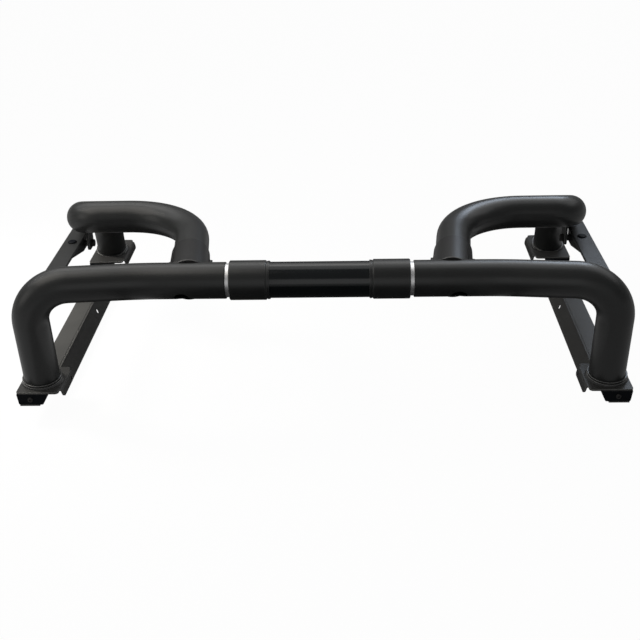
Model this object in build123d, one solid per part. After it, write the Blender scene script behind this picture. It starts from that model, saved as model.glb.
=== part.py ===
from build123d import *
import math
import os

# A tubular bar frame whose middle telescopes. Two mirrored side frames slide on a chromed inner tube.
# +X is the right side, +Y the rear, +Z up. The origin is the middle of the base, on the floor.

# Tubes
TUBE_R = 38.0
SLIDE_R = 35.0
SLIDE_WALL = 3.0
SLIDE_CLEARANCE = 0.05
TUBE_BORE_R = SLIDE_R + SLIDE_CLEARANCE

# Base heights, from the floor up
RAIL_TOP_Z = 42.0
RAIL_SHEET = 3.0
BLOCK_HEIGHT = 25.0
PLATE_THICK = 4.0
BLOCK_TOP_Z = RAIL_TOP_Z + BLOCK_HEIGHT
PLATE_TOP_Z = BLOCK_TOP_Z + PLATE_THICK

# Frame layout
BASE_LENGTH = 858.0
FRONT_Y = -BASE_LENGTH / 2
REAR_Y = BASE_LENGTH / 2
BAR_Y = FRONT_Y + 68.0
BAR_Z = PLATE_TOP_Z + 226.0

# Centre of the bar
CENTRE_TUBE_R = 37.4
COLLAR_R = 41.0
COLLAR_IN_X = 102.0
COLLAR_OUT_X = 185.0
COLLAR_LIP = 5.0
COLLAR_LIP_R = 39.6
COLLAR_GROOVE = 1.6
COLLAR_GROOVE_R = 38.6
COLLAR_OVERLAP = 23.0
COLLAR_CHAMFER = 1.5
SLIDE_HALF_LENGTH = 248.0
SET_SCREW_R = 4.0
SET_SCREW_X = 156.0
SET_SCREW_SINK = 0.6
SET_SCREW_SOCKET = 4.0
SET_SCREW_SOCKET_DEPTH = 3.0

# Half bar: straight, a gentle sweep, then a tight corner into the upright arm
BAR_START_X = 192.5
SWEEP_X = 372.0
SWEEP_RADIUS = 480.0
ARM_X = 602.5
ARM_FOOT_Y = BAR_Y - 15.0
CORNER_Y = BAR_Y - 40.0
CORNER_Z = BAR_Z + 8.0
CORNER_RADIUS = 82.0
LOCK_SCREW_X = 206.0
LOCK_HEAD_R = 7.0
LOCK_HEAD_HEIGHT = 4.0
LOCK_TIP_GAP = 0.3
LOCK_SOCKET = 5.0
LOCK_SOCKET_DEPTH = 2.5
BAR_END_CHAMFER = 1.0

# Rear tube: back from the junction, outwards, then back and down to the rear foot
JUNCTION_X = 271.0
RUN_X = 309.0
RUN_Y = BAR_Y + 377.0
RUN_Z = BAR_Z
RUN_BEND_RADIUS = 172.0
RUN_END_X = 589.0
RUN_END_RADIUS = 54.0
KNEE_X = 597.0
KNEE_Y = BAR_Y + 670.0
KNEE_Z = PLATE_TOP_Z + 118.0
KNEE_RADIUS = 110.0
REAR_FOOT_X = 600.0
REAR_FOOT_Y = BAR_Y + 711.0

# Junction sleeve, the plug and stud that close the rear tube, and the access hole under the bar
SLEEVE_START = 8.0
SLEEVE_END = 132.0
SLEEVE_BASE_R = 43.5
SLEEVE_END_R = 41.5
SLEEVE_SEAT_R = 47.5
SLEEVE_SEAT_END = 112.0
SLEEVE_SEAT_DROP = 3.0
PLUG_NEAR = 44.0
PLUG_THICK = 8.0
STUD_R = 6.0
STUD_HOLE_R = 6.5
STUD_REACH = 15.0
NUT_NEAR = 18.0
NUT_THICK = 10.0
NUT_FLATS = 19.0
SADDLE_R = 14.0
ACCESS_R = 17.5
ACCESS_X = 284.0
ACCESS_TILT = 40.0

# Feet: plates with bent ears on trapezoid blocks
FRONT_PLATE_LENGTH = 113.0
REAR_PLATE_LENGTH = 160.0
PLATE_IN_X = 552.0
PLATE_OUT_X = 648.0
PLATE_CORNER = 8.0
BEND_RADIUS = 2.0
EAR_DROP = 18.0
EAR_LEAN = 4.5
EAR_INSET = 14.0
EAR_CORNER = 8.0
EAR_HOLE_R = 4.5
EAR_HOLE_DEPTH = 11.5
EAR_HOLE_SHARE = 0.25
BLOCK_TOP_IN_X = 580.0
BLOCK_TOP_OUT_X = 647.0
BLOCK_BOTTOM_IN_X = 592.0
BLOCK_BOTTOM_OUT_X = 644.0
BLOCK_EDGE = 4.0
FOOT_COLLAR_R = 41.8
FOOT_COLLAR_BASE_R = 45.5
FOOT_COLLAR_SKIRT = 8.5
FOOT_COLLAR_GROOVE = 2.0
FOOT_COLLAR_GROOVE_R = 40.2
FOOT_COLLAR_HEIGHT = 14.0
BASE_BOLT_R = 4.0
BASE_BOLT_HEAD_R = 8.0
BASE_BOLT_SOCKET = 5.0
BASE_BOLT_SOCKET_DEPTH = 3.0
BASE_BOLT_COVER = 1.0
BASE_BOLT_INSET = 24.0
FOOT_SCREW_R = 2.5
FOOT_SCREW_HEAD_R = 6.0
FOOT_SCREW_HEAD = 3.0
FOOT_SCREW_LENGTH = 18.0
FOOT_SCREW_SOCKET = 4.0
FOOT_SCREW_SOCKET_DEPTH = 2.0

# Base rail: a flat strip and a slanted flange welded along its inner edge; a groove marks the seam
RAIL_IN_X = 596.0
RAIL_OUT_X = 642.0
FLANGE_FOOT_X = 577.0
FLANGE_SETBACK = 25.0
GROOVE_WIDTH = 1.6
GROOVE_DEPTH = 1.0
RAIL_HOLE_R = 6.5
RAIL_HOLE_Y = BAR_Y + 432.0
RAIL_HOLE_Z = 20.0

# Side strap with a tapered inner flange, its lug, bolt and plug
STRAP_IN_X = 602.0
STRAP_OUT_X = 646.0
STRAP_TOP_Z = PLATE_TOP_Z + 145.0
STRAP_THICK = 4.0
STRAP_END_Y = BAR_Y + 520.0
STRAP_TAPER_Y = BAR_Y + 325.0
STRAP_FLANGE_DROP = 26.0
STRAP_EDGE = 3.0
LUG_IN_X = 586.0
LUG_THICK = 6.0
LUG_CORNER = 9.0
LUG_BOSS_R = 8.0
LUG_LENGTH = 44.0
LUG_Y = BAR_Y + 455.0
LUG_BOLT_R = 5.0
LUG_BOLT_FLATS = 17.0
LUG_BOLT_HEAD = 8.0
LUG_BOLT_PROUD = 3.0
PLUG_HEAD_R = 11.0
PLUG_HEAD_HEIGHT = 3.5
PLUG_SHANK_R = 8.0
PLUG_BEAD_R = 9.0
PLUG_BEAD_HEIGHT = 3.0
PLUG_HEAD_BEVEL = 1.8
PLUG_Y = BAR_Y + 418.0


def rod(radius, start, end):
    """Round bar from one point to another."""
    axis = Vector(*end) - Vector(*start)
    return Plane(origin=start, z_dir=axis) * Cylinder(
        radius, axis.length, align=(Align.CENTER, Align.CENTER, Align.MIN))


def taper(start_radius, end_radius, start, end):
    """Round bar whose radius changes evenly from one point to another."""
    axis = Vector(*end) - Vector(*start)
    return Plane(origin=start, z_dir=axis) * Cone(
        start_radius, end_radius, axis.length, align=(Align.CENTER, Align.CENTER, Align.MIN))


def hexagon(flats, start, end):
    """Hexagonal bar from one point to another."""
    axis = Vector(*end) - Vector(*start)
    section = Plane(origin=start, z_dir=axis) * RegularPolygon(flats / 2, 6, major_radius=False)
    return extrude(section, amount=axis.length, dir=axis.normalized())


def block(x_range, y_range, z_range):
    """Box between two limits on each axis."""
    lows = [r[0] for r in (x_range, y_range, z_range)]
    sizes = [r[1] - r[0] for r in (x_range, y_range, z_range)]
    return Pos(*lows) * Box(*sizes, align=(Align.MIN, Align.MIN, Align.MIN))


def bent_bar(points, radii, radius):
    """Solid round bar along straight runs joined by arcs."""
    path = FilletPolyline(*points, radius=radii)
    return sweep(Plane(origin=path @ 0, z_dir=path % 0) * Circle(radius), path=path)


def turned_about_x(profile):
    """Ring turned about the bar's axis, from a profile of (x, radius) points."""
    outline = make_face(Polyline(*[(x, BAR_Y, BAR_Z + r) for x, r in profile], close=True))
    return revolve(outline, axis=Axis((0, BAR_Y, BAR_Z), (1, 0, 0)))


def past_foot(bend, foot):
    """Point beyond a tube's foot, so that the plate's top face can trim the tube to length."""
    run = Vector(*foot) - Vector(*bend)
    return tuple(Vector(*foot) + run.normalized() * 2 * TUBE_R)


def junction_point(offset):
    """Point on the axis of the rear tube's first run, which splays outwards; offset from the bar's axis."""
    run = Vector(RUN_X - JUNCTION_X, RUN_Y - BAR_Y, 0).normalized()
    return tuple(Vector(JUNCTION_X, BAR_Y, BAR_Z) + run * offset)


BAR_POINTS = [
    (BAR_START_X, BAR_Y, BAR_Z),
    (SWEEP_X, BAR_Y, BAR_Z),
    (ARM_X, CORNER_Y, CORNER_Z),
    past_foot((ARM_X, CORNER_Y, CORNER_Z), (ARM_X, ARM_FOOT_Y, PLATE_TOP_Z)),
]
BAR_RADII = [SWEEP_RADIUS, CORNER_RADIUS]
REAR_POINTS = [
    junction_point(PLUG_NEAR),
    (RUN_X, RUN_Y, RUN_Z),
    (RUN_END_X, RUN_Y, RUN_Z),
    (KNEE_X, KNEE_Y, KNEE_Z),
    past_foot((KNEE_X, KNEE_Y, KNEE_Z), (REAR_FOOT_X, REAR_FOOT_Y, PLATE_TOP_Z)),
]
REAR_RADII = [RUN_BEND_RADIUS, RUN_END_RADIUS, KNEE_RADIUS]


def bar_axis_rod(radius):
    """Straight rod on the bar's axis, long enough to cut a saddle at the junction."""
    return rod(radius, (BAR_START_X, BAR_Y, BAR_Z), (SWEEP_X, BAR_Y, BAR_Z))


def half_bar():
    outer = bent_bar(BAR_POINTS, BAR_RADII, TUBE_R)
    bore = bent_bar(BAR_POINTS, BAR_RADII, TUBE_BORE_R)
    tilt = math.radians(ACCESS_TILT)
    access = rod(ACCESS_R, (ACCESS_X, BAR_Y, BAR_Z), (
        ACCESS_X,
        BAR_Y - 2 * TUBE_R * math.sin(tilt),
        BAR_Z - 2 * TUBE_R * math.cos(tilt)))
    stud_hole = rod(STUD_HOLE_R, junction_point(0), junction_point(2 * TUBE_R))
    lock_hole = rod(SET_SCREW_R, lock_point(0), lock_point(2 * TUBE_R))
    tube = outer - bore
    inner_end = tube.edges().filter_by(GeomType.CIRCLE).group_by(Axis.X)[0]
    tube = chamfer(inner_end.sort_by(SortBy.RADIUS)[-1:], BAR_END_CHAMFER)
    return tube - access - stud_hole - lock_hole - below_plates()


def lock_point(radius):
    """Point behind the bar's axis, on the line of the lock screw."""
    return (LOCK_SCREW_X, BAR_Y + radius, BAR_Z)


def lock_screw():
    top = TUBE_R + LOCK_HEAD_HEIGHT
    head = rod(LOCK_HEAD_R, lock_point(0), lock_point(top)) - bar_axis_rod(TUBE_R)
    head -= hexagon(LOCK_SOCKET, lock_point(top - LOCK_SOCKET_DEPTH), lock_point(top))
    shank_end = top - LOCK_SOCKET_DEPTH
    return head + rod(SET_SCREW_R, lock_point(SLIDE_R + LOCK_TIP_GAP), lock_point(shank_end))


def below_plates():
    """Everything under the plates' top face, used to square off the tube ends."""
    return block((0, 2 * ARM_X), (2 * FRONT_Y, 2 * REAR_Y), (-BAR_Z, PLATE_TOP_Z))


def rear_tube_solid():
    return bent_bar(REAR_POINTS, REAR_RADII, TUBE_R) - below_plates()


def rear_tube():
    bore = bent_bar(REAR_POINTS, REAR_RADII, TUBE_BORE_R)
    return rear_tube_solid() - bore


def sleeve():
    """Coped socket around the rear tube's first run, with a thicker half shell as a seat under it."""
    shell = taper(SLEEVE_BASE_R, SLEEVE_END_R, junction_point(SLEEVE_START), junction_point(SLEEVE_END))
    seat = rod(SLEEVE_SEAT_R, junction_point(SLEEVE_START), junction_point(SLEEVE_SEAT_END))
    seat &= block((0, SWEEP_X), (BAR_Y, RUN_Y), (0, BAR_Z - SLEEVE_SEAT_DROP))
    bore = rod(TUBE_R, junction_point(0), junction_point(SLEEVE_END + TUBE_R))
    return shell + seat - bore - bar_axis_rod(TUBE_R)


def rear_tube_plug():
    disc = rod(TUBE_BORE_R, junction_point(PLUG_NEAR), junction_point(PLUG_NEAR + PLUG_THICK))
    return disc + rod(STUD_R, junction_point(STUD_REACH), junction_point(PLUG_NEAR))


def sleeve_nut():
    stud = rod(STUD_R, junction_point(0), junction_point(PLUG_NEAR))
    nut = hexagon(NUT_FLATS, junction_point(NUT_NEAR), junction_point(NUT_NEAR + NUT_THICK)) - stud
    saddle = rod(SADDLE_R, junction_point(NUT_NEAR + NUT_THICK), junction_point(PLUG_NEAR))
    saddle = (saddle & bar_axis_rod(TUBE_BORE_R)) - stud
    return Compound(children=[nut.solid(), saddle.solid()])


def foot_ring(axis_start, axis_up):
    """Weld collar around a tube that stands on a plate: a flared skirt, a groove and a top ring."""
    up = Vector(*axis_up).normalized()

    def at(height):
        return tuple(Vector(*axis_start) + up * height)

    groove_top = FOOT_COLLAR_SKIRT + FOOT_COLLAR_GROOVE
    ring = rod(FOOT_COLLAR_BASE_R, at(-FOOT_COLLAR_BASE_R), at(0))
    ring += taper(FOOT_COLLAR_BASE_R, FOOT_COLLAR_R, at(0), at(FOOT_COLLAR_SKIRT))
    ring += rod(FOOT_COLLAR_GROOVE_R, at(FOOT_COLLAR_SKIRT), at(groove_top))
    ring += rod(FOOT_COLLAR_R, at(groove_top), at(FOOT_COLLAR_HEIGHT))
    return ring - rod(TUBE_R, at(-2 * TUBE_R), at(2 * TUBE_R)) - below_plates()


def ear_rod(y):
    """Rod square to the slanted ear, on the line of its hole."""
    across = Vector(EAR_DROP, 0, -EAR_LEAN).normalized() * EAR_DROP / 2
    face = Vector(PLATE_IN_X - EAR_LEAN * EAR_HOLE_DEPTH / EAR_DROP, y, PLATE_TOP_Z - EAR_HOLE_DEPTH)
    return rod(EAR_HOLE_R, tuple(face - across), tuple(face + across))


def plate(length, centre_y, hole_shift):
    """Foot plate of bent sheet: a flat with rounded corners and a turned-down ear that carries one hole."""
    low_y = centre_y - length / 2
    slope = EAR_LEAN / EAR_DROP
    inner_x = PLATE_IN_X + PLATE_THICK * math.hypot(1, slope) - slope * PLATE_THICK
    ear_foot_z = PLATE_TOP_Z - EAR_DROP
    section = Polyline(
        (PLATE_OUT_X, low_y, PLATE_TOP_Z),
        (PLATE_IN_X, low_y, PLATE_TOP_Z),
        (PLATE_IN_X - EAR_LEAN, low_y, ear_foot_z),
        (inner_x - slope * (BLOCK_TOP_Z - ear_foot_z), low_y, ear_foot_z),
        (inner_x, low_y, BLOCK_TOP_Z),
        (PLATE_OUT_X, low_y, BLOCK_TOP_Z),
        close=True)
    blank = extrude(make_face(section), amount=length, dir=(0, 1, 0))

    def bend(x, z):
        return blank.edges().filter_by(Axis.Y).sort_by_distance((x, centre_y, z))[:1]

    blank = fillet(bend(PLATE_IN_X, PLATE_TOP_Z), BEND_RADIUS + PLATE_THICK)
    blank = fillet(bend(inner_x, BLOCK_TOP_Z), BEND_RADIUS)
    flat_in_x = inner_x + BEND_RADIUS
    flat = Pos((flat_in_x + PLATE_OUT_X) / 2, centre_y) * RectangleRounded(
        PLATE_OUT_X - flat_in_x, length, PLATE_CORNER)
    tab = Pos(PLATE_IN_X, centre_y) * Rectangle(PLATE_OUT_X - PLATE_IN_X, length - 2 * EAR_INSET)
    body = blank & extrude(flat + tab, amount=2 * PLATE_TOP_Z)
    body = fillet(body.edges().filter_by(Axis.X).group_by(Axis.Z)[0], EAR_CORNER)
    return body - ear_rod(centre_y + hole_shift)


def base_bolt_places(length, centre_y):
    middle_x = (RAIL_IN_X + RAIL_OUT_X) / 2
    return [(middle_x, centre_y + side * (length / 2 - BASE_BOLT_INSET)) for side in (-1, 1)]


def bolt_body(x, y):
    """Countersunk bolt without its socket, which is also the hole that it fills."""
    seat_z = RAIL_TOP_Z - RAIL_SHEET
    cone_z = seat_z + BASE_BOLT_HEAD_R - BASE_BOLT_R
    shank = rod(BASE_BOLT_R, (x, y, seat_z), (x, y, PLATE_TOP_Z - BASE_BOLT_COVER))
    return shank + taper(BASE_BOLT_HEAD_R, BASE_BOLT_R, (x, y, seat_z), (x, y, cone_z))


def base_bolt(x, y):
    seat_z = RAIL_TOP_Z - RAIL_SHEET
    socket_z = seat_z + BASE_BOLT_SOCKET_DEPTH
    return bolt_body(x, y) - hexagon(BASE_BOLT_SOCKET, (x, y, seat_z), (x, y, socket_z))


def foot_screw(y, facing):
    """Button-head screw on a block's outer end; facing is the side its head is on."""
    x = (BLOCK_BOTTOM_IN_X + BLOCK_BOTTOM_OUT_X) / 2
    z = RAIL_TOP_Z + BLOCK_HEIGHT / 2
    face_y = y + facing * FOOT_SCREW_HEAD
    head = rod(FOOT_SCREW_HEAD_R, (x, y, z), (x, face_y, z))
    socket = hexagon(FOOT_SCREW_SOCKET, (x, face_y - facing * FOOT_SCREW_SOCKET_DEPTH, z), (x, face_y, z))
    return head - socket + rod(FOOT_SCREW_R, (x, y, z), (x, y - facing * FOOT_SCREW_LENGTH, z))


def foot_block(length, centre_y):
    low_y = centre_y - length / 2
    outline = Polyline(
        (BLOCK_TOP_IN_X, low_y, BLOCK_TOP_Z),
        (BLOCK_TOP_OUT_X, low_y, BLOCK_TOP_Z),
        (BLOCK_BOTTOM_OUT_X, low_y, RAIL_TOP_Z),
        (BLOCK_BOTTOM_IN_X, low_y, RAIL_TOP_Z),
        close=True)
    body = extrude(make_face(outline), amount=length, dir=(0, 1, 0))
    lower_edges = body.edges().filter_by(Axis.Y).sort_by(Axis.Z)[:2]
    return fillet(lower_edges, BLOCK_EDGE)


def base_rail(bolt_places):
    """Rail of two welded pieces: the strip that the feet stand on and the slanted flange along its edge."""
    under = RAIL_TOP_Z - RAIL_SHEET
    wall = RAIL_SHEET * math.hypot(1, flange_slope())
    seam_x = RAIL_IN_X + wall
    front_block_end = FRONT_Y + FRONT_PLATE_LENGTH
    rear_block_start = REAR_Y - REAR_PLATE_LENGTH
    strip = block((seam_x, RAIL_OUT_X), (FRONT_Y, REAR_Y), (under, RAIL_TOP_Z))
    groove_z = (RAIL_TOP_Z - GROOVE_DEPTH, RAIL_TOP_Z)
    strip -= block((seam_x, seam_x + GROOVE_WIDTH), (front_block_end, rear_block_start), groove_z)
    for x, y in bolt_places:
        strip -= bolt_body(x, y)
    start_y = front_block_end + FLANGE_SETBACK
    outline = Polyline(
        (FLANGE_FOOT_X, start_y, 0),
        (FLANGE_FOOT_X + wall, start_y, 0),
        (seam_x, start_y, under),
        (seam_x, start_y, RAIL_TOP_Z),
        (RAIL_IN_X, start_y, RAIL_TOP_Z),
        (RAIL_IN_X, start_y, under),
        close=True)
    flange = extrude(make_face(outline), amount=rear_block_start - FLANGE_SETBACK - start_y, dir=(0, 1, 0))
    flange -= rail_hole_rod(RAIL_HOLE_Y)
    return Compound(children=[strip.solid(), flange.solid()])


def flange_slope():
    return (RAIL_IN_X - FLANGE_FOOT_X) / (RAIL_TOP_Z - RAIL_SHEET)


def rail_hole_rod(y):
    """Rod square to the slanted flange, on the line of its hole."""
    across = Vector(1, 0, -flange_slope()).normalized() * RAIL_HOLE_R
    middle = Vector(FLANGE_FOOT_X + flange_slope() * RAIL_HOLE_Z, y, RAIL_HOLE_Z)
    return rod(RAIL_HOLE_R, tuple(middle - across), tuple(middle + across))


def lug_bolt_line():
    return LUG_Y, STRAP_TOP_Z - STRAP_THICK - STRAP_FLANGE_DROP / 2


def side_strap(bar_solid, rear_solid):
    under = STRAP_TOP_Z - STRAP_THICK
    top = block((STRAP_IN_X, STRAP_OUT_X), (ARM_FOOT_Y, STRAP_END_Y), (under, STRAP_TOP_Z))
    flange_outline = Polyline(
        (STRAP_IN_X, STRAP_TAPER_Y, under),
        (STRAP_IN_X, LUG_Y + LUG_LENGTH / 2, under),
        (STRAP_IN_X, LUG_Y + LUG_LENGTH / 2, under - STRAP_FLANGE_DROP),
        (STRAP_IN_X, LUG_Y - LUG_LENGTH / 2, under - STRAP_FLANGE_DROP),
        close=True)
    flange = extrude(make_face(flange_outline), amount=STRAP_THICK, dir=(1, 0, 0))
    bolt_y, bolt_z = lug_bolt_line()
    bolt_hole = rod(LUG_BOLT_R, (LUG_IN_X, bolt_y, bolt_z), (STRAP_OUT_X, bolt_y, bolt_z))
    plug_x = (STRAP_IN_X + STRAP_OUT_X) / 2
    plug_hole = rod(PLUG_SHANK_R, (plug_x, PLUG_Y, under), (plug_x, PLUG_Y, STRAP_TOP_Z))
    strap = top + flange
    inner_edge = strap.edges().filter_by(Axis.Y).group_by(Axis.Z)[-1].sort_by(Axis.X)[:1]
    strap = fillet(inner_edge, STRAP_EDGE) - bar_solid - rear_solid - bolt_hole - plug_hole
    return strap.solids().sort_by(SortBy.VOLUME)[-1]


def strap_plug():
    x = (STRAP_IN_X + STRAP_OUT_X) / 2
    under = STRAP_TOP_Z - STRAP_THICK
    head = rod(PLUG_HEAD_R, (x, PLUG_Y, STRAP_TOP_Z), (x, PLUG_Y, STRAP_TOP_Z + PLUG_HEAD_HEIGHT))
    head = chamfer(head.edges().sort_by(Axis.Z)[-1:], PLUG_HEAD_BEVEL)
    shank = rod(PLUG_SHANK_R, (x, PLUG_Y, under), (x, PLUG_Y, STRAP_TOP_Z))
    bead = rod(PLUG_BEAD_R, (x, PLUG_Y, under - PLUG_BEAD_HEIGHT), (x, PLUG_Y, under))
    return head + shank + bead


def strap_lug(rear_solid):
    """Tab welded under the leg, with rounded lower corners and a boss that reaches the strap's flange."""
    low_z = STRAP_TOP_Z - STRAP_THICK - STRAP_FLANGE_DROP
    y_range = (LUG_Y - LUG_LENGTH / 2, LUG_Y + LUG_LENGTH / 2)
    tab = block((LUG_IN_X, LUG_IN_X + LUG_THICK), y_range, (low_z, RUN_Z))
    tab = fillet(tab.edges().filter_by(Axis.X).group_by(Axis.Z)[0], LUG_CORNER)
    tab = (tab - rear_solid).solids().sort_by(Axis.Z)[0]
    bolt_y, bolt_z = lug_bolt_line()
    boss = rod(LUG_BOSS_R, (LUG_IN_X + LUG_THICK, bolt_y, bolt_z), (STRAP_IN_X, bolt_y, bolt_z))
    return tab + boss - rod(LUG_BOLT_R, (LUG_IN_X, bolt_y, bolt_z), (STRAP_IN_X, bolt_y, bolt_z))


def lug_bolt():
    y, z = lug_bolt_line()
    nut_x = STRAP_IN_X + STRAP_THICK
    shank = rod(LUG_BOLT_R, (LUG_IN_X, y, z), (nut_x + LUG_BOLT_HEAD + LUG_BOLT_PROUD, y, z))
    head = hexagon(LUG_BOLT_FLATS, (LUG_IN_X - LUG_BOLT_HEAD, y, z), (LUG_IN_X, y, z))
    nut = hexagon(LUG_BOLT_FLATS, (nut_x, y, z), (nut_x + LUG_BOLT_HEAD, y, z)) - shank
    return Compound(children=[(shank + head).solid(), nut.solid()])


def side_frame():
    """Every piece of the right side frame, by name."""
    bar_solid = bent_bar(BAR_POINTS, BAR_RADII, TUBE_R)
    arm = (0, CORNER_Y - ARM_FOOT_Y, CORNER_Z - PLATE_TOP_Z)
    rear_solid = rear_tube_solid()
    leg = (KNEE_X - REAR_FOOT_X, KNEE_Y - REAR_FOOT_Y, KNEE_Z - PLATE_TOP_Z)
    front_plate_y = FRONT_Y + FRONT_PLATE_LENGTH / 2
    rear_plate_y = REAR_Y - REAR_PLATE_LENGTH / 2
    places = base_bolt_places(FRONT_PLATE_LENGTH, front_plate_y)
    places += base_bolt_places(REAR_PLATE_LENGTH, rear_plate_y)
    bolts = [base_bolt(x, y) for x, y in places]
    screws = [foot_screw(FRONT_Y, -1), foot_screw(REAR_Y, 1)]

    def drilled(piece):
        for x, y in places:
            piece -= bolt_body(x, y)
        return piece

    front_block = drilled(foot_block(FRONT_PLATE_LENGTH, front_plate_y)) - screws[0]
    rear_block = drilled(foot_block(REAR_PLATE_LENGTH, rear_plate_y)) - screws[1]
    front_plate = plate(FRONT_PLATE_LENGTH, front_plate_y, FRONT_PLATE_LENGTH * EAR_HOLE_SHARE)
    rear_plate = plate(REAR_PLATE_LENGTH, rear_plate_y, -REAR_PLATE_LENGTH * EAR_HOLE_SHARE)
    return {
        "half_bar": half_bar(),
        "lock_screw": lock_screw(),
        "rear_tube": rear_tube(),
        "sleeve": sleeve(),
        "rear_tube_plug": rear_tube_plug(),
        "sleeve_nut": sleeve_nut(),
        "front_collar": foot_ring((ARM_X, ARM_FOOT_Y, PLATE_TOP_Z), arm),
        "rear_collar": foot_ring((REAR_FOOT_X, REAR_FOOT_Y, PLATE_TOP_Z), leg),
        "front_plate": drilled(front_plate),
        "rear_plate": drilled(rear_plate),
        "front_foot_block": front_block,
        "rear_foot_block": rear_block,
        "foot_screws": Compound(children=[s.solid() for s in screws]),
        "base_rail": base_rail(places),
        "base_bolts": Compound(children=[b.solid() for b in bolts]),
        "side_strap": side_strap(bar_solid, rear_solid),
        "strap_plug": strap_plug(),
        "strap_lug": strap_lug(rear_solid),
        "lug_bolt": lug_bolt(),
    }


def centre_tube():
    reach = COLLAR_IN_X + COLLAR_OVERLAP
    bore = [(-reach, SLIDE_R), (reach, SLIDE_R)]
    return turned_about_x(bore + [(reach, CENTRE_TUBE_R), (-reach, CENTRE_TUBE_R)])


def inner_tube():
    half = SLIDE_HALF_LENGTH
    bore = SLIDE_R - SLIDE_WALL
    return turned_about_x([(-half, bore), (half, bore), (half, SLIDE_R), (-half, SLIDE_R)])


def set_screw():
    place = (SET_SCREW_X, BAR_Y)
    outer_z = BAR_Z - COLLAR_R + SET_SCREW_SINK
    body = rod(SET_SCREW_R, (*place, outer_z), (*place, BAR_Z - SLIDE_R - SLIDE_CLEARANCE))
    return body - hexagon(SET_SCREW_SOCKET, (*place, outer_z), (*place, outer_z + SET_SCREW_SOCKET_DEPTH))


def centre_collar():
    step_x = COLLAR_IN_X + COLLAR_OVERLAP
    lip_x = COLLAR_IN_X + COLLAR_LIP
    body_x = lip_x + COLLAR_GROOVE
    ring = turned_about_x([
        (COLLAR_IN_X, CENTRE_TUBE_R),
        (COLLAR_IN_X, COLLAR_LIP_R),
        (lip_x, COLLAR_LIP_R),
        (lip_x, COLLAR_GROOVE_R),
        (body_x, COLLAR_GROOVE_R),
        (body_x + COLLAR_CHAMFER, COLLAR_R),
        (COLLAR_OUT_X - COLLAR_CHAMFER, COLLAR_R),
        (COLLAR_OUT_X, COLLAR_R - COLLAR_CHAMFER),
        (COLLAR_OUT_X, SLIDE_R),
        (step_x, SLIDE_R),
        (step_x, CENTRE_TUBE_R),
    ])
    return ring - rod(SET_SCREW_R, (SET_SCREW_X, BAR_Y, BAR_Z), (SET_SCREW_X, BAR_Y, BAR_Z - 2 * COLLAR_R))


def left_of(piece):
    return mirror(piece, about=Plane.YZ)


pieces = {"centre_tube": centre_tube(), "inner_tube": inner_tube()}
pieces["right_centre_collar"] = centre_collar()
pieces["left_centre_collar"] = left_of(centre_collar())
pieces["collar_set_screws"] = Compound(children=[set_screw().solid(), left_of(set_screw()).solid()])
for name, piece in side_frame().items():
    pieces["right_" + name] = piece
    pieces["left_" + name] = left_of(piece)

os.makedirs("parts", exist_ok=True)
for name, piece in pieces.items():
    export_step(piece, f"parts/{name}.step")
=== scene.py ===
import bmesh
import bpy
import math
from mathutils import Euler, Matrix, Vector


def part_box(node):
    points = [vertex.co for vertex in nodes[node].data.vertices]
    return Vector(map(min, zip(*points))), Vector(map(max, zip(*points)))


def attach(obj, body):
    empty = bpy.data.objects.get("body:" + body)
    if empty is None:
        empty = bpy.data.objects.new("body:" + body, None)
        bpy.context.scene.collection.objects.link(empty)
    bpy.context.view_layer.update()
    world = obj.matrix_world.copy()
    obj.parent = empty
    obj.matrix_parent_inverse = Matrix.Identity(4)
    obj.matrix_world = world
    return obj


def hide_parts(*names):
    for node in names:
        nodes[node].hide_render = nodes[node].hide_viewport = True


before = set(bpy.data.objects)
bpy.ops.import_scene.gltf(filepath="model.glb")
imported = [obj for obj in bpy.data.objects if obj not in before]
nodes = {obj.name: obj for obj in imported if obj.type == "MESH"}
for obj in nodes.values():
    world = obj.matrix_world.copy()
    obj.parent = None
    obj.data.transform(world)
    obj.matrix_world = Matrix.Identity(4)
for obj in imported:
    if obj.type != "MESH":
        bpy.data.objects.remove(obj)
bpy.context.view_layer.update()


# Inner tube. One length of drawn steel tube, turned bright and chromed, runs through the whole
# middle of the bar. Both side frames slide on it, so it shows only as a narrow bright ring beside
# each collar.
HAZE_SCALE = 60.0
RING_SCALE = 40.0
RING_STRETCH = (40, 1, 1)
RING_DEPTH = 0.0002


class Wire:
    """A node's socket that takes part in sums; each operation adds a Math node to its tree."""

    def __init__(self, tree, socket=None):
        self.tree = tree
        self.socket = socket

    def node(self, kind, settings=None, inputs=None, output=0):
        made = self.tree.nodes.new(kind)
        for name, value in (settings or {}).items():
            setattr(made, name, value)
        for name, value in (inputs or {}).items():
            for part in value if isinstance(value, list) else [value]:
                if isinstance(part, Wire):
                    self.tree.links.new(part.socket, made.inputs[name])
                else:
                    made.inputs[name].default_value = part
        return Wire(self.tree, made.outputs[output] if made.outputs else None)

    def maths(self, operation, first, second):
        return self.node("ShaderNodeMath", {"operation": operation}, {0: first, 1: second})

    def __add__(self, other):
        return self.maths("ADD", self, other)

    def __sub__(self, other):
        return self.maths("SUBTRACT", self, other)

    def __rsub__(self, other):
        return self.maths("SUBTRACT", other, self)

    def __mul__(self, other):
        return self.maths("MULTIPLY", self, other)

    def __truediv__(self, other):
        return self.maths("DIVIDE", self, other)

    __radd__ = __add__
    __rmul__ = __mul__


def new_finish(name):
    """A material with an empty tree, and the wire that adds nodes to it."""
    material = bpy.data.materials.new(name)
    material.use_nodes = True
    material.node_tree.nodes.clear()
    return material, Wire(material.node_tree)


def noise(base, scale, detail=2.0, stretch=(1, 1, 1)):
    place = base.node("ShaderNodeTexCoord", output="Object")
    stretched = base.node("ShaderNodeMapping", inputs={"Vector": place, "Scale": stretch})
    return base.node("ShaderNodeTexNoise", inputs={
        "Vector": stretched, "Scale": scale, "Detail": detail})


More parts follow.
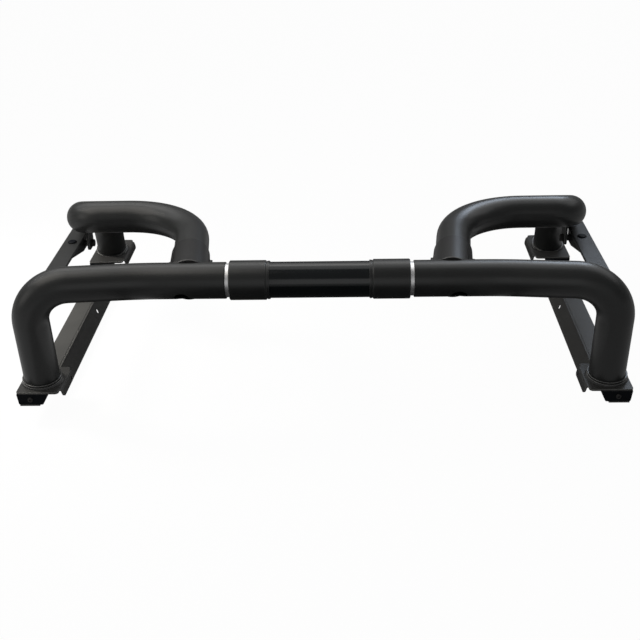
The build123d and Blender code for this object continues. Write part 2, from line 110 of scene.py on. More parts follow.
def blend(base, share, first, second):
    colours = {0: share, 6: (*first, 1), 7: (*second, 1)}
    return base.node("ShaderNodeMix", {"data_type": "RGBA"}, colours, output=2)


def surface(base, inputs):
    shader = base.node("ShaderNodeBsdfPrincipled", inputs=inputs)
    base.node("ShaderNodeOutputMaterial", inputs={"Surface": shader})


def dress(names, material):
    """Gives CAD pieces whose shape is right their finish."""
    for name in names:
        mesh = nodes[name].data
        mesh.materials.clear()
        mesh.materials.append(material)


def bright_metal(name, dull, bright, smooth, rough, ring_strength):
    """Turned metal: fine rings around the X axis under a slight haze."""
    material, base = new_finish(name)
    haze = noise(base, HAZE_SCALE)
    rings = noise(base, RING_SCALE, stretch=RING_STRETCH)
    bump = base.node("ShaderNodeBump", inputs={
        "Height": rings, "Strength": ring_strength, "Distance": RING_DEPTH})
    surface(base, {
        "Base Color": blend(base, haze, dull, bright),
        "Metallic": 1.0,
        "Roughness": smooth + (rough - smooth) * haze,
        "Normal": bump})
    return material


chrome_plate = bright_metal(
    "chrome_plate", dull=(0.90, 0.90, 0.91), bright=(0.96, 0.96, 0.96),
    smooth=0.36, rough=0.46, ring_strength=0.05)
dress(["inner_tube"], chrome_plate)


# Centre tube. A short steel tube that covers the inner tube between the collars. It is sprayed
# gloss black, which leaves it smoother and deeper than the powder coat beside it.
CLOUD_SCALE = 14.0
CLOUD_DETAIL = 3.0
DEEP_SHARE, THIN_SHARE = 0.78, 1.22
GRAIN_DEPTH_SHARE = 1 / 8
PEBBLE_SHEEN = 0.04
NOISE_MEAN = 0.5
SPRAY_GRAIN = 0.0035


def black_coat(name, colour, roughness, grain_size, grain, patch=0.08, shine=0.5):
    """Black coating: a soft pebbled skin whose depth and sheen drift a little over the surface."""
    material, base = new_finish(name)
    cloud = noise(base, CLOUD_SCALE, CLOUD_DETAIL)
    pebbles = noise(base, 1 / grain_size)
    bump = base.node("ShaderNodeBump", inputs={
        "Height": pebbles, "Strength": grain, "Distance": grain_size * GRAIN_DEPTH_SHARE})
    deep = [DEEP_SHARE * part for part in colour]
    thin = [THIN_SHARE * part for part in colour]
    sheen = patch * (cloud - NOISE_MEAN)
    surface(base, {
        "Base Color": blend(base, cloud, deep, thin),
        "Specular IOR Level": shine,
        "Roughness": roughness + sheen + PEBBLE_SHEEN * (pebbles - NOISE_MEAN),
        "Normal": bump})
    return material


gloss_coat = black_coat(
    "gloss_black_coat", (0.004, 0.006, 0.007),
    roughness=0.18, grain_size=SPRAY_GRAIN, grain=0.05, patch=0.04)
dress(["centre_tube"], gloss_coat)


# Centre collars. Two turned steel rings close the ends of the centre tube. Each has a thin lip and
# a groove on its inner end, broken edges, and the same satin powder coat as the bars.
SIDES = {"right": 1, "left": -1}
CENTRE_COLLAR_EDGE = 0.0004
POWDER_GRAIN = 0.0011
WELD_DISTANCE = 1e-6
FLAT_ANGLE = math.radians(1.0)
EDGE_STEPS = 2
# The second coat of a rounded piece lies on its edges, painted lighter as a highlight.
COAT, EDGE_HIGHLIGHT_COAT, FIRST_PART = range(3)


def plain_mesh(piece):
    """Turns a piece's modifiers into its mesh."""
    evaluated = piece.evaluated_get(bpy.context.evaluated_depsgraph_get())
    shaped = bpy.data.meshes.new_from_object(evaluated)
    piece.modifiers.clear()
    piece.data = shaped


def stand_for(piece, node, body):
    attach(piece, body)
    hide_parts(node)


def rounded(node, body, coat, edge_highlight_coat, radius, sharpest=30.0, parts=()):
    """A copy of a CAD piece with rounded edges, their thinner coat painted lighter as a highlight.

    Edges that turn by more degrees than sharpest are rounded. Parts are further coats: a material,
    a test that tells the faces it covers by their middle, and whether those faces have rounded
    edges too.
    """
    mesh = nodes[node].data.copy()
    work = bmesh.new()
    work.from_mesh(mesh)
    bmesh.ops.remove_doubles(work, verts=work.verts, dist=WELD_DISTANCE)
    bmesh.ops.dissolve_limit(work, angle_limit=FLAT_ANGLE, verts=work.verts, edges=work.edges)
    for face in work.faces:
        face.smooth = True
        face.material_index = COAT
    square = set()
    for index, (finish, covers, eased) in enumerate(parts, start=FIRST_PART):
        for face in work.faces:
            if covers(face.calc_center_median()):
                face.material_index = index
        if not eased:
            square.add(index)
    weights = work.edges.layers.float.new("bevel_weight_edge")
    for edge in work.edges:
        if len(edge.link_faces) == 2 and edge.calc_face_angle() > math.radians(sharpest):
            edge.smooth = False
            beside = {face.material_index for face in edge.link_faces}
            edge[weights] = 0.0 if square & beside else 1.0
    work.to_mesh(mesh)
    work.free()
    mesh.materials.clear()
    for finish in (coat, edge_highlight_coat, *(part[0] for part in parts)):
        mesh.materials.append(finish)
    piece = bpy.data.objects.new(node + "_rounded", mesh)
    bpy.context.scene.collection.objects.link(piece)
    bevel = piece.modifiers.new("edges", "BEVEL")
    bevel.width = radius
    bevel.segments = EDGE_STEPS
    bevel.limit_method = "WEIGHT"
    bevel.use_clamp_overlap = False
    bevel.material = EDGE_HIGHLIGHT_COAT
    piece.modifiers.new("shading", "WEIGHTED_NORMAL").keep_sharp = True
    plain_mesh(piece)
    stand_for(piece, node, body)


satin_coat = black_coat(
    "satin_black_coat", (0.018, 0.019, 0.019),
    roughness=0.33, grain_size=POWDER_GRAIN, grain=0.10)
# Lighter copy of the satin coat for rounded edges, where the coat is thinner: a painted highlight.
satin_edge_highlight = black_coat(
    "satin_black_edge_highlight", (0.070, 0.072, 0.072),
    roughness=0.30, grain_size=POWDER_GRAIN, grain=0.05)
for side in SIDES:
    rounded(f"{side}_centre_collar", "centre",
            satin_coat, satin_edge_highlight, CENTRE_COLLAR_EDGE)


# Collar set screws. A black steel socket screw sits in the underside of each collar and clamps it
# on the inner tube. They are sunk just below the collar's skin.
X, Y, Z = range(3)
DOWN, BACK = (0, 0, -1), (0, 1, 0)
OXIDE_SCALE, OXIDE_DETAIL = 160.0, 3.0
OXIDE_BLUE, OXIDE_BROWN = (0.020, 0.021, 0.024), (0.045, 0.042, 0.040)
ROUND_CORNERS = 40
HEAD_SLICES = 6
DOME_POWER = 3.0
SHARP_ANGLE = math.radians(32)
FLAT_TO_CORNER = 1 / math.sqrt(3)
SET_SCREW_HEAD_SHARE = 0.5
SET_SCREW_SHANK_SHARE = 0.98
SET_SCREW_SOCKET_SHARE = 0.55


def black_oxide_steel():
    """Blackened steel, between blue and brown in fine clouds."""
    material, base = new_finish("black_oxide_steel")
    tint = noise(base, OXIDE_SCALE, OXIDE_DETAIL)
    surface(base, {
        "Base Color": blend(base, tint, OXIDE_BLUE, OXIDE_BROWN),
        "Metallic": 0.8,
        "Roughness": 0.36 + 0.16 * tint})
    return material


def new_tree(name, sizes):
    """A Geometry Nodes tree with the named sizes as inputs: its wire, sockets and identifiers."""
    tree = bpy.data.node_groups.new(name, "GeometryNodeTree")
    kinds = {"Geometry": "NodeSocketGeometry", **{size: "NodeSocketFloat" for size in sizes},
             "Finish": "NodeSocketMaterial"}
    names = {}
    for label, kind in kinds.items():
        socket = tree.interface.new_socket(label, in_out="INPUT", socket_type=kind)
        names[label] = socket.identifier
    tree.interface.new_socket("Geometry", in_out="OUTPUT", socket_type="NodeSocketGeometry")
    entry = tree.nodes.new("NodeGroupInput")
    return Wire(tree), {label: Wire(tree, entry.outputs[label]) for label in kinds}, names


def cylinder(base, radius, depth, top, corners=ROUND_CORNERS, slices=1):
    """Upright cylinder whose upper face is at the given height."""
    made = base.node("GeometryNodeMeshCylinder", inputs={
        "Vertices": corners, "Side Segments": slices, "Radius": radius, "Depth": depth})
    lift = base.node("ShaderNodeCombineXYZ", inputs={"Z": top - depth * 0.5})
    return base.node("GeometryNodeTransform", inputs={"Geometry": made, "Translation": lift})


def joined(base, operation, first, second):
    if operation == "DIFFERENCE":
        inputs = {"Mesh 1": first, "Mesh 2": second}
    else:
        inputs = {"Mesh 2": [first, second]}
    settings = {"operation": operation, "solver": "EXACT"}
    return base.node("GeometryNodeMeshBoolean", settings, inputs)


def set_out(base, sockets, shape):
    """Ends a tree: one shape at each point, turned to its facing, with sharp edges kept."""
    facing = base.node("GeometryNodeInputNamedAttribute", {"data_type": "FLOAT_VECTOR"},
                       {"Name": "facing"})
    turn = base.node("FunctionNodeAlignRotationToVector", {"axis": "Z"}, {"Vector": facing})
    smooth = base.node("GeometryNodeSetShadeSmooth", {"domain": "FACE"}, {0: shape})
    angle = base.node("GeometryNodeInputMeshEdgeAngle")
    sharp = base.maths("GREATER_THAN", angle, SHARP_ANGLE)
    edged = base.node("GeometryNodeSetShadeSmooth", {"domain": "EDGE"},
                      {0: smooth, "Selection": sharp, "Shade Smooth": False})
    placed = base.node("GeometryNodeInstanceOnPoints", inputs={
        "Points": sockets["Geometry"], "Instance": edged, "Rotation": turn})
    real = base.node("GeometryNodeRealizeInstances", inputs={0: placed})
    dressed = base.node("GeometryNodeSetMaterial", inputs={
        "Geometry": real, "Material": sockets["Finish"]})
    base.node("NodeGroupOutput", inputs={"Geometry": dressed})


def socket_screw_tree():
    """Screws with a hexagon socket: outer face at height 0, head below it, then the shank."""
    base, inputs, names = new_tree("socket_screws", (
        "Head Radius", "Head Height", "Dome", "Taper", "Shank Radius", "Length",
        "Socket Across", "Socket Depth"))
    height, deep = inputs["Head Height"], inputs["Socket Depth"]
    head = cylinder(base, inputs["Head Radius"], height, 0.0, slices=HEAD_SLICES)
    place = base.node("GeometryNodeInputPosition")
    apart = base.node("ShaderNodeSeparateXYZ", inputs={"Vector": place})
    x, y, z = (Wire(base.tree, socket) for socket in apart.socket.node.outputs)
    up = 1.0 + z / height
    dome = inputs["Dome"] * base.maths("POWER", up, DOME_POWER)
    width = 1.0 - dome - inputs["Taper"] * (1.0 - up)
    shaped = base.node("ShaderNodeCombineXYZ", inputs={"X": x * width, "Y": y * width, "Z": z})
    head = base.node("GeometryNodeSetPosition", inputs={"Geometry": head, "Position": shaped})
    shank = cylinder(base, inputs["Shank Radius"], inputs["Length"] - height * 0.5, height * -0.5)
    socket = cylinder(base, inputs["Socket Across"] * FLAT_TO_CORNER, deep * 2.0, deep, corners=6)
    screw = joined(base, "DIFFERENCE", joined(base, "UNION", head, shank), socket)
    set_out(base, inputs, screw)
    return base.tree, names


def solid_boxes(node):
    """The lowest and highest corner of each separate solid in a CAD node."""
    work = bmesh.new()
    work.from_mesh(nodes[node].data)
    bmesh.ops.remove_doubles(work, verts=work.verts, dist=WELD_DISTANCE)
    waiting = set(work.verts)
    boxes = []
    for first in work.verts:
        if first not in waiting:
            continue
        waiting.remove(first)
        growing = [first]
        corners = []
        while growing:
            vertex = growing.pop()
            corners.append(vertex.co.copy())
            for edge in vertex.link_edges:
                other = edge.other_vert(vertex)
                if other in waiting:
                    waiting.remove(other)
                    growing.append(other)
        boxes.append((Vector(map(min, zip(*corners))), Vector(map(max, zip(*corners)))))
    work.free()
    return boxes


def length_along(box, axis):
    low, high = box
    return high[axis] - low[axis]


def outer_face(box, facing):
    """Middle of a box's face on the side that it faces, and that facing."""
    low, high = box
    middle = (low + high) / 2
    reach = Vector(abs(f) * (h - l) / 2 for f, l, h in zip(facing, low, high))
    return middle + Vector(f * r for f, r in zip(facing, reach)), Vector(facing)


def fasteners(node, body, kind, facings, sizes):
    """Puts one fastener of a kind at each place, in place of a CAD node's solids."""
    tree, names = kind
    mesh = bpy.data.meshes.new(node + "_set")
    mesh.from_pydata([place for place, facing in facings], [], [])
    directions = mesh.attributes.new("facing", "FLOAT_VECTOR", "POINT")
    for point, (place, facing) in zip(directions.data, facings):
        point.vector = facing
    piece = bpy.data.objects.new(node + "_set", mesh)
    bpy.context.scene.collection.objects.link(piece)
    modifier = piece.modifiers.new("fasteners", "NODES")
    modifier.node_group = tree
    for label, value in {**sizes, "Finish": oxide}.items():
        modifier[names[label]] = value
    plain_mesh(piece)
    stand_for(piece, node, body)


oxide = black_oxide_steel()
socket_screws = socket_screw_tree()
boxes = solid_boxes("collar_set_screws")
screw_radius = length_along(boxes[0], X) / 2
screw_length = length_along(boxes[0], Z)
fasteners("collar_set_screws", "centre", socket_screws, [outer_face(box, DOWN) for box in boxes], {
    "Head Radius": screw_radius,
    "Head Height": screw_length * SET_SCREW_HEAD_SHARE,
    "Shank Radius": screw_radius * SET_SCREW_SHANK_SHARE,
    "Length": screw_length,
    "Socket Across": screw_radius,
    "Socket Depth": screw_length * SET_SCREW_SOCKET_SHARE})


# Half bars. Each is one thick-walled steel tube, bent in a gentle sweep and then in a tight corner
# down to the front foot. It is powder coated satin black, and an access hole is drilled in its
# underside.
for side in SIDES:
    dress([f"{side}_half_bar"], satin_coat)


# Lock screws. One button-head socket screw of black steel goes in from behind near the inner end
# of each half bar. Tightened on the inner tube, it holds the slide at its width.
LOCK_HEAD_RADIUS = 0.007
LOCK_HEAD_SHARE = 0.55
LOCK_DOME = 0.3
LOCK_SHANK_RADIUS = 0.004
LOCK_SOCKET_ACROSS = 0.005
LOCK_SOCKET_DEPTH = 0.0025
for side in SIDES:
    node = f"{side}_lock_screw"
    boxes = solid_boxes(node)
    length = length_along(boxes[0], Y)
    fasteners(node, f"{side}_frame", socket_screws, [outer_face(box, BACK) for box in boxes], {
        "Head Radius": LOCK_HEAD_RADIUS,
        "Head Height": length * LOCK_HEAD_SHARE,
        "Dome": LOCK_DOME,
        "Shank Radius": LOCK_SHANK_RADIUS,
        "Length": length,
        "Socket Across": LOCK_SOCKET_ACROSS,
        "Socket Depth": LOCK_SOCKET_DEPTH})


# Sleeves. A coped steel socket, welded to the back of each half bar, takes the first run of the
# rear tube. Its lower half is a thicker seat, and its far end is a thin eased edge around the tube.
SLEEVE_EDGE = 0.0014
sleeve_coat = black_coat(
    "sleeve_black_coat", (0.012, 0.012, 0.012),
    roughness=0.38, grain_size=POWDER_GRAIN, grain=0.12, shine=0.4)
# Much lighter copy for the sleeve's eased edges, where the coat is thinner: a painted highlight.
sleeve_edge_highlight = black_coat(
    "sleeve_black_edge", (0.160, 0.160, 0.157),
    roughness=0.32, grain_size=POWDER_GRAIN, grain=0.05)
for side in SIDES:
    rounded(f"{side}_sleeve", f"{side}_frame",
            sleeve_coat, sleeve_edge_highlight, SLEEVE_EDGE)


# Rear tubes. The same tube as the half bars, bent three times: out of the sleeve and round to the
# side, then back and down, then at the knee to the rear foot. Powder coated satin black.
for side in SIDES:
    dress([f"{side}_rear_tube"], satin_coat)


# Tube plugs and nuts. A steel disc with a stud closes the rear tube inside the sleeve. A nut on a
# saddle washer, reached through the access hole, draws it against the bar. Both are plain plated
# steel.
plated_steel = bright_metal(
    "plated_steel", dull=(0.42, 0.42, 0.41), bright=(0.56, 0.56, 0.55),
    smooth=0.28, rough=0.42, ring_strength=0.1)
for side in SIDES:
    dress([f"{side}_rear_tube_plug", f"{side}_sleeve_nut"], plated_steel)


# Weld collars. A turned steel ring with a flared skirt closes each tube's foot on its plate. The
# gap around the tube and the groove under the top ring are painted near black as shade, and the
# ring's rounded edge is painted lighter as a highlight.
FEET = [(side, end) for side in SIDES for end in ("front", "rear")]
COLLAR_GROOVE_RADIUS = (0.0396, 0.0410)
COLLAR_EDGE = 0.0008
RIM_TOLERANCE = 0.0001
TOP_TOLERANCE = 0.0002
FINE_GRAIN = 0.0007
# Near-black coat for grooves, gaps and holes: painted shade.
painted_recess_shade = black_coat(
    "painted_recess_shade", (0.002, 0.002, 0.003),
    roughness=0.7, grain_size=FINE_GRAIN, grain=0.3, shine=0.1)
# Lighter copy for the collars' rounded edges: a painted highlight.
ring_edge_highlight = black_coat(
    "ring_black_edge_highlight", (0.140, 0.140, 0.137),
    roughness=0.32, grain_size=POWDER_GRAIN, grain=0.05)


def bore_line(node):
    """A point on the line of a collar's bore and its direction, from the ring at its top."""
    mesh = nodes[node].data
    top = max(mesh.polygons, key=lambda face: face.center.z)
    direction = top.normal.copy()
    rim = [vertex.co for vertex in mesh.vertices
           if abs((vertex.co - top.center).dot(direction)) < RIM_TOLERANCE]
    low, high = (Vector(pick(axis) for axis in zip(*rim)) for pick in (min, max))
    return (low + high) / 2, direction


def shaded_faces(node):
    """Two tests on the middle of a collar's face: whether it is in the groove, or on the top."""
    point, direction = bore_line(node)
    inner, outer = COLLAR_GROOVE_RADIUS

    def in_groove(middle):
        return inner < (middle - point).cross(direction).length < outer

    def on_top(middle):
        return abs((middle - point).dot(direction)) < TOP_TOLERANCE

    return in_groove, on_top


for side, end in FEET:
    node = f"{side}_{end}_collar"
    in_groove, on_top = shaded_faces(node)
    rounded(node, f"{side}_frame", satin_coat, ring_edge_highlight, COLLAR_EDGE,
            parts=[(painted_recess_shade, in_groove, False), (painted_recess_shade, on_top, True)])


# Foot plates. Laser-cut steel plates, each with an ear bent down on its inner side for a clamping
# bolt. Powder coated in the same batch as the rails, a little flatter than the tubes. The ears are
# painted near black as shade, and the rounded edges lighter as a highlight.
PLATE_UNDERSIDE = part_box("right_front_foot_block")[1][2]
EAR_DROP = 0.0005
SHEET_EDGE = 0.0006
sheet_coat = black_coat(
    "sheet_black_coat", (0.034, 0.034, 0.033),
    roughness=0.42, grain_size=POWDER_GRAIN, grain=0.12, shine=0.32)
# Near-black copy of the coat for the ears and the rail's flange, which turn inward: painted shade.
painted_shade_coat = black_coat(
    "painted_shade_sheet_coat", (0.008, 0.008, 0.008),
    roughness=0.40, grain_size=POWDER_GRAIN, grain=0.12, shine=0.18)
# Lighter copy for rounded sheet edges: a painted highlight.
sheet_edge_highlight = black_coat(
    "sheet_black_edge_highlight", (0.150, 0.150, 0.145),
    roughness=0.34, grain_size=POWDER_GRAIN, grain=0.05)


def on_ear(middle):
    return middle.z < PLATE_UNDERSIDE - EAR_DROP


for side, end in FEET:
    rounded(f"{side}_{end}_plate", f"{side}_frame",
            sheet_coat, sheet_edge_highlight, SHEET_EDGE, parts=[(painted_shade_coat, on_ear, True)])


# Foot blocks. A moulded black block lies under each plate and lifts the foot off the rail. It is
# narrower at the bottom, and the base bolts clamp it between plate and rail.
BLOCK_EDGE = 0.0006
moulded = black_coat(
    "moulded_black", (0.003, 0.004, 0.006),
    roughness=0.5, grain_size=FINE_GRAIN, grain=0.35, shine=0.08)
# Lighter copy for the rounded edges: a painted highlight.
moulded_edge_highlight = black_coat(
    "moulded_black_edge_highlight", (0.008, 0.009, 0.012),
    roughness=0.44, grain_size=FINE_GRAIN, grain=0.2, shine=0.15)
for side, end in FEET:
    rounded(f"{side}_{end}_foot_block", f"{side}_frame",
            moulded, moulded_edge_highlight, BLOCK_EDGE)


# Foot screws. A button-head socket screw of black steel is driven into the outer end of each
# block: the front ones face forwards, the rear ones backwards.
FOOT_HEAD_RADIUS = 0.006
FOOT_HEAD_HEIGHT = 0.003
FOOT_DOME = 0.35
FOOT_SHANK_RADIUS = 0.0025
FOOT_SOCKET_ACROSS = 0.004
FOOT_SOCKET_DEPTH = 0.002
for side in SIDES:
    node = f"{side}_foot_screws"
    boxes = solid_boxes(node)
    facings = [outer_face(box, (0, math.copysign(1, box[0].y), 0)) for box in boxes]
    fasteners(node, f"{side}_frame", socket_screws, facings, {
        "Head Radius": FOOT_HEAD_RADIUS,
        "Head Height": FOOT_HEAD_HEIGHT,
        "Dome": FOOT_DOME,
        "Shank Radius": FOOT_SHANK_RADIUS,
        "Length": length_along(boxes[0], Y),
        "Socket Across": FOOT_SOCKET_ACROSS,
        "Socket Depth": FOOT_SOCKET_DEPTH})


# Base rails. A flat steel strip carries both feet, and a slanted flange is welded along its inner
# edge. The flange's upper edge stands between two seams painted near black as shade, and the hole
# in the flange is painted near black as shade too. Powder coated satin black, painted lighter on
# the strip's top as light and near black on the flange as shade.
RAIL_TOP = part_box("right_base_rail")[1][2]
RAIL_EDGE = 0.0004
STRIP_INNER = 0.5993
FLANGE_LIP = 0.0025
GROOVE_DEPTH = 0.0012
SEAM_COVER = 0.0003
HOLE_Y, HOLE_Z, HOLE_RADIUS = 0.071, 0.020, 0.0065
HOLE_TOLERANCE = 0.0005
# Light copy of the powder coat for the strip: painted light on its top.
rail_coat = black_coat(
    "rail_black_coat", (0.055, 0.055, 0.053),
    roughness=0.42, grain_size=POWDER_GRAIN, grain=0.12, shine=0.28)


def on_flange(middle):
    return abs(middle.x) < STRIP_INNER and middle.z < RAIL_TOP - FLANGE_LIP


def in_seam(middle):
    deep = GROOVE_DEPTH if abs(middle.x) > STRIP_INNER else FLANGE_LIP
    return SEAM_COVER < RAIL_TOP - middle.z < deep


def in_hole(middle):
    return math.hypot(middle.y - HOLE_Y, middle.z - HOLE_Z) < HOLE_RADIUS + HOLE_TOLERANCE


# The flange takes painted shade, its seams and hole near-black painted shade, the edges a painted
# highlight.
for side in SIDES:
    rounded(f"{side}_base_rail", f"{side}_frame", rail_coat, sheet_edge_highlight, RAIL_EDGE,
            parts=[(painted_shade_coat, on_flange, True), (painted_recess_shade, in_seam, False),
                   (painted_recess_shade, in_hole, False)])


# Base bolts. Four countersunk socket bolts of black steel on each side come up through the rail
# and the blocks into the plates, with their heads flush in the rail's underside.
BASE_HEAD_RADIUS = 0.008
BASE_BOLT_RADIUS = 0.004
BASE_SOCKET_ACROSS = 0.005
BASE_SOCKET_DEPTH = 0.003
for side in SIDES:
    node = f"{side}_base_bolts"
    boxes = solid_boxes(node)
    fasteners(node, f"{side}_frame", socket_screws, [outer_face(box, DOWN) for box in boxes], {
        "Head Radius": BASE_HEAD_RADIUS,
        "Head Height": BASE_HEAD_RADIUS - BASE_BOLT_RADIUS,
        "Taper": 1 - BASE_BOLT_RADIUS / BASE_HEAD_RADIUS,
        "Shank Radius": BASE_BOLT_RADIUS,
        "Length": length_along(boxes[0], Z),
        "Socket Across": BASE_SOCKET_ACROSS,
        "Socket Depth": BASE_SOCKET_DEPTH})


# Side straps and lugs. A flat steel strap ties each arm to the leg behind it. Its inner flange is
# bolted to a lug with a spacer boss, which is welded under the leg.
# Their rounded edges take the lighter sheet edge copy of the coat: a painted highlight.
for side in SIDES:
    for name in ("side_strap", "strap_lug"):
        rounded(f"{side}_{name}", f"{side}_frame",
                satin_coat, sheet_edge_highlight, SHEET_EDGE)


# Strap plugs. A soft black moulded plug is pushed into the hole in each strap. Its bevelled head
# has shallow edges, so those are rounded too.
PLUG_EDGE = 0.0008
PLUG_SHARPEST = 20.0
# Their rounded edges take the lighter moulded copy: a painted highlight.
for side in SIDES:
    rounded(f"{side}_strap_plug", f"{side}_frame",
            moulded, moulded_edge_highlight, PLUG_EDGE, PLUG_SHARPEST)


# Lug bolts. A hexagon bolt and nut of black steel, with chamfered corners, hold each strap on its
# lug. The end of the thread stands out past the nut.
HEX_FLATS = 0.017
HEX_HEIGHT = 0.008
THREAD_RADIUS = 0.005
THREAD_PITCH = 0.0015
THREAD_PROUD = 0.003
RIDGE_SHARE = 0.3
RIDGE_CORNERS = 4
TURN_STEPS = 24
CROWN_SHARE = 0.475
CROWN_SLOPE = 1.73
CROWN_CORNERS = 48


def hex_bolt_tree():
    """Hexagon bolts: head's face at height 0, shank below it, and a nut near the thread's end."""
    base, inputs, names = new_tree("hexagon_bolts", (
        "Across Flats", "Head Height", "Shank Radius", "Length", "Nut Height", "Thread Proud",
        "Pitch"))
    flats, length, pitch = inputs["Across Flats"], inputs["Length"], inputs["Pitch"]

    def hexagon(height, top):
        body = cylinder(base, flats * FLAT_TO_CORNER, height, top, corners=6)
        face = flats * CROWN_SHARE
        crown = base.node("GeometryNodeMeshCone", inputs={
            "Vertices": CROWN_CORNERS, "Radius Top": face,
            "Radius Bottom": face + height * CROWN_SLOPE, "Depth": height})
        lift = base.node("ShaderNodeCombineXYZ", inputs={"Z": top - height})
        crown = base.node("GeometryNodeTransform", inputs={
            "Geometry": crown, "Translation": lift})
        return joined(base, "INTERSECT", body, crown)

    head = hexagon(inputs["Head Height"], 0.0)
    threaded = inputs["Nut Height"] + inputs["Thread Proud"]
    nut = hexagon(inputs["Nut Height"], threaded - length)
    ridge_height = pitch * RIDGE_SHARE
    core = inputs["Shank Radius"] - ridge_height
    shank = cylinder(base, core, length - inputs["Head Height"], 0.0 - inputs["Head Height"])
    spiral = base.node("GeometryNodeCurveSpiral", inputs={
        "Resolution": TURN_STEPS, "Rotations": threaded / pitch,
        "Start Radius": core, "End Radius": core, "Height": threaded})
    ridge = base.node("GeometryNodeCurvePrimitiveCircle", {"mode": "RADIUS"},
                      {"Resolution": RIDGE_CORNERS, "Radius": ridge_height})
    thread = base.node("GeometryNodeCurveToMesh", inputs={
        "Curve": spiral, "Profile Curve": ridge, "Fill Caps": True})
    drop = base.node("ShaderNodeCombineXYZ", inputs={"Z": ridge_height - length})
    thread = base.node("GeometryNodeTransform", inputs={"Geometry": thread, "Translation": drop})
    bolt = base.node("GeometryNodeJoinGeometry", inputs={"Geometry": [head, shank, nut, thread]})
    set_out(base, inputs, bolt)
    return base.tree, names


hex_bolts = hex_bolt_tree()
for side, sign in SIDES.items():
    node = f"{side}_lug_bolt"
    low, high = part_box(node)
    facings = [outer_face((Vector(low), Vector(high)), (-sign, 0, 0))]
    fasteners(node, f"{side}_frame", hex_bolts, facings, {
        "Across Flats": HEX_FLATS,
        "Head Height": HEX_HEIGHT,
        "Shank Radius": THREAD_RADIUS,
        "Length": length_along((low, high), X),
        "Nut Height": HEX_HEIGHT,
        "Thread Proud": THREAD_PROUD,
        "Pitch": THREAD_PITCH})


# Studio. A white floor and backdrop with soft lamps: a strip behind and warm ones on the left.
# Cloths and cards that only reflections see stand around the bar: dark ones keep the lower half of
# each tube black, grey ones lift its sides, and a cool bright one is the window on the right.
WHITE = (1, 1, 1)
FLOOR_REACH = 30
FLOOR_PAPER = (0.9, 0.9, 0.9)
FLOOR_BOUNCE = (0.2, 0.2, 0.2)
FLOOR_WHITE_SHARE = 0.97
SKY_COLOUR = (0.97, 0.98, 1.0)
SKY_STRENGTH = 0.3
WALL_X = 4.5
INNER_CARD_X = 0.40
INNER_CARD_LEVELS = {"right": 0.38, "left": 0.55}


def flat_sheet(name, x, y, z, material):
    """A sheet square to the axes: a range along two of them and one place on the third."""
    (x0, x1), (y0, y1), (z0, z1) = (
        axis if isinstance(axis, tuple) else (axis, axis) for axis in (x, y, z))
    if z0 == z1:
        corners = [(x0, y0, z0), (x1, y0, z0), (x1, y1, z0), (x0, y1, z0)]
    else:
        corners = [(x0, y0, z0), (x1, y1, z0), (x1, y1, z1), (x0, y0, z1)]
    mesh = bpy.data.meshes.new(name)
    mesh.from_pydata(corners, [], [(0, 1, 2, 3)])
    mesh.materials.append(material)
    made = bpy.data.objects.new(name, mesh)
    bpy.context.scene.collection.objects.link(made)
    return made


def seen_as_background(base):
    camera, glossy, transmission = (
        base.node("ShaderNodeLightPath", output=f"Is {kind} Ray")
        for kind in ("Camera", "Glossy", "Transmission"))
    return camera + glossy + transmission


def studio_floor():
    """White where it is seen as background, with a little matt paper that keeps the shadow."""
    material, base = new_finish("studio_floor")
    bounce = base.node("ShaderNodeLightPath", output="Is Diffuse Ray")
    paper = blend(base, bounce, FLOOR_PAPER, FLOOR_BOUNCE)
    matt = base.node("ShaderNodeBsdfDiffuse", inputs={"Color": paper})
    white = base.node("ShaderNodeEmission", inputs={"Color": (*WHITE, 1), "Strength": 1.0})
    share = FLOOR_WHITE_SHARE * seen_as_background(base)
    mixed = base.node("ShaderNodeMixShader", inputs={0: share, 1: matt, 2: white})
    base.node("ShaderNodeOutputMaterial", inputs={"Surface": mixed})
    return material


def cloth(name, x, y, z, level, colour=WHITE):
    """A sheet of one brightness that only reflections see."""
    material, base = new_finish(name)
    glow = base.node("ShaderNodeEmission", inputs={"Color": (*colour, 1), "Strength": level})
    base.node("ShaderNodeOutputMaterial", inputs={"Surface": glow})
    made = flat_sheet(name, x, y, z, material)
    made.visible_camera = False
    made.visible_diffuse = False
    made.visible_transmission = False
    made.visible_shadow = False


floor_range = (-FLOOR_REACH, FLOOR_REACH)
flat_sheet("studio_floor", floor_range, floor_range, 0, studio_floor())
cloth("floor_cloth", x=(-4, 4), y=(-4.5, 3), z=0.0004, level=0.28)
cloth("front_floor_cloth", x=(-0.42, 0.42), y=(-1.35, -0.36), z=0.0008, level=0.03)
cloth("inner_floor_cloth", x=(-0.575, 0.575), y=(-0.36, 0.74), z=0.0008, level=0.03)
cloth("ceiling_cloth", x=(-5, 5), y=(-9, -0.3), z=2.35, level=0.16)
cloth("front_cloth", x=(-5, 5), y=-4.6, z=(0, 2.3), level=0.3)
cloth("front_panel", x=(-0.55, 0.45), y=-4.5, z=(0, 2.3), level=0.8)
cloth("back_cloth", x=(-6, 6), y=3, z=(0, 2.2), level=0.15)
for side, sign in SIDES.items():
    cloth(f"{side}_cloth", x=WALL_X * sign, y=(-4.6, 3), z=(0, 2.35), level=0.15)
for side, sign in SIDES.items():
    cloth(f"{side}_inner_card", x=INNER_CARD_X * sign, y=(-0.70, -0.08), z=(0.001, 0.131),
          level=INNER_CARD_LEVELS[side])
cloth("left_floor_card", x=(-1.5, -0.65), y=(-1.2, 0.1), z=0.0012, level=0.48)
cloth("left_ceiling_card", x=(-5, -0.5), y=(-9, -0.3), z=2.34, level=0.24)
cloth("window", x=(0.72, 1.62), y=1.8, z=(1.45, 2.55), level=6.5, colour=(0.76, 0.86, 1.0))

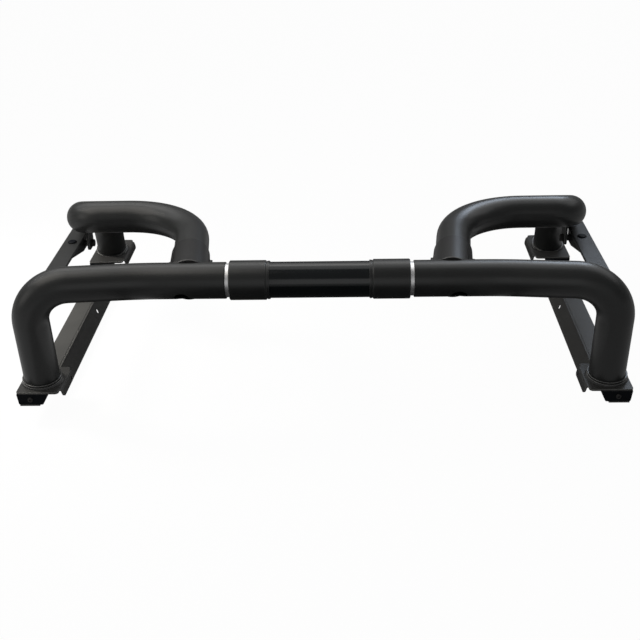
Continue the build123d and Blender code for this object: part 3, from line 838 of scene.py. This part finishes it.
world = bpy.data.worlds.new("studio")
world.use_nodes = True
world.node_tree.nodes.clear()
sky = Wire(world.node_tree)
soft = sky.node("ShaderNodeBackground", inputs={
    "Color": (*SKY_COLOUR, 1), "Strength": SKY_STRENGTH})
white = sky.node("ShaderNodeBackground", inputs={"Color": (*WHITE, 1), "Strength": 1.0})
both = sky.node("ShaderNodeMixShader", inputs={0: seen_as_background(sky), 1: soft, 2: white})
sky.node("ShaderNodeOutputWorld", inputs={"Surface": both})
bpy.context.scene.world = world


def softbox(name, place, aim, size, radiance, colour, spread=180, reflected=True):
    """A rectangular lamp, as bright as its radiance whatever its size; its spread is in degrees."""
    lamp = bpy.data.lights.new(name, "AREA")
    lamp.shape = "RECTANGLE"
    lamp.size, lamp.size_y = size
    lamp.energy = radiance * math.pi * size[0] * size[1]
    lamp.color = colour
    lamp.spread = math.radians(spread)
    made = bpy.data.objects.new(name, lamp)
    made.location = place
    made.rotation_euler = (Vector(aim) - Vector(place)).to_track_quat("-Z", "Y").to_euler()
    made.visible_glossy = reflected
    bpy.context.scene.collection.objects.link(made)


softbox("back_strip", place=(0.0, 1.0, 2.1), aim=(0.0, -0.3, 0.3), size=(3.4, 0.6),
        radiance=1.3, colour=(1.0, 0.98, 0.95))
softbox("left_lamp", place=(-1.3, -0.5, 2.0), aim=(-0.5, -0.3, 0.2), size=(1.5, 1.8),
        radiance=1.6, colour=(1.0, 0.95, 0.88))
softbox("left_fill", place=(-2.8, -1.2, 0.9), aim=(-0.5, -0.2, 0.2), size=(1.4, 1.2),
        radiance=0.8, colour=(1.0, 0.97, 0.93))
softbox("left_key", place=(-2.0, 0.3, 1.5), aim=(-0.95, 0, 0), size=(0.5, 0.5),
        radiance=8.0, colour=(1.0, 0.96, 0.90), spread=50, reflected=False)


# Camera. It stands in front of the bar, well above it and a little to the right, as the
# photograph's own camera did. Its place, turn and focal length fit the outline of the object.
CAMERA_PLACE = (0.0708, -2.3158, 1.1775)
CAMERA_PITCH, CAMERA_YAW, CAMERA_ROLL = (math.radians(a) for a in (26.46, 2.31, -1.53))
FOCAL_PIXELS = 1043.1
PHOTO_PIXELS = 640
OPTICAL_CENTRE_X = 316.92
SENSOR_MM = 36.0
lens = bpy.data.cameras.new("photo_camera")
lens.sensor_fit = "HORIZONTAL"
lens.sensor_width = SENSOR_MM
lens.lens = FOCAL_PIXELS * SENSOR_MM / PHOTO_PIXELS
lens.shift_x = (PHOTO_PIXELS / 2 - OPTICAL_CENTRE_X) / PHOTO_PIXELS
camera = bpy.data.objects.new("photo_camera", lens)
aimed = Euler((math.pi / 2 - CAMERA_PITCH, 0, CAMERA_YAW)).to_matrix()
turned = aimed @ Matrix.Rotation(CAMERA_ROLL, 3, "Z")
camera.matrix_world = Matrix.Translation(CAMERA_PLACE) @ turned.to_4x4()
bpy.context.scene.collection.objects.link(camera)
bpy.context.scene.camera = camera
bpy.context.scene.view_settings.view_transform = "Standard"
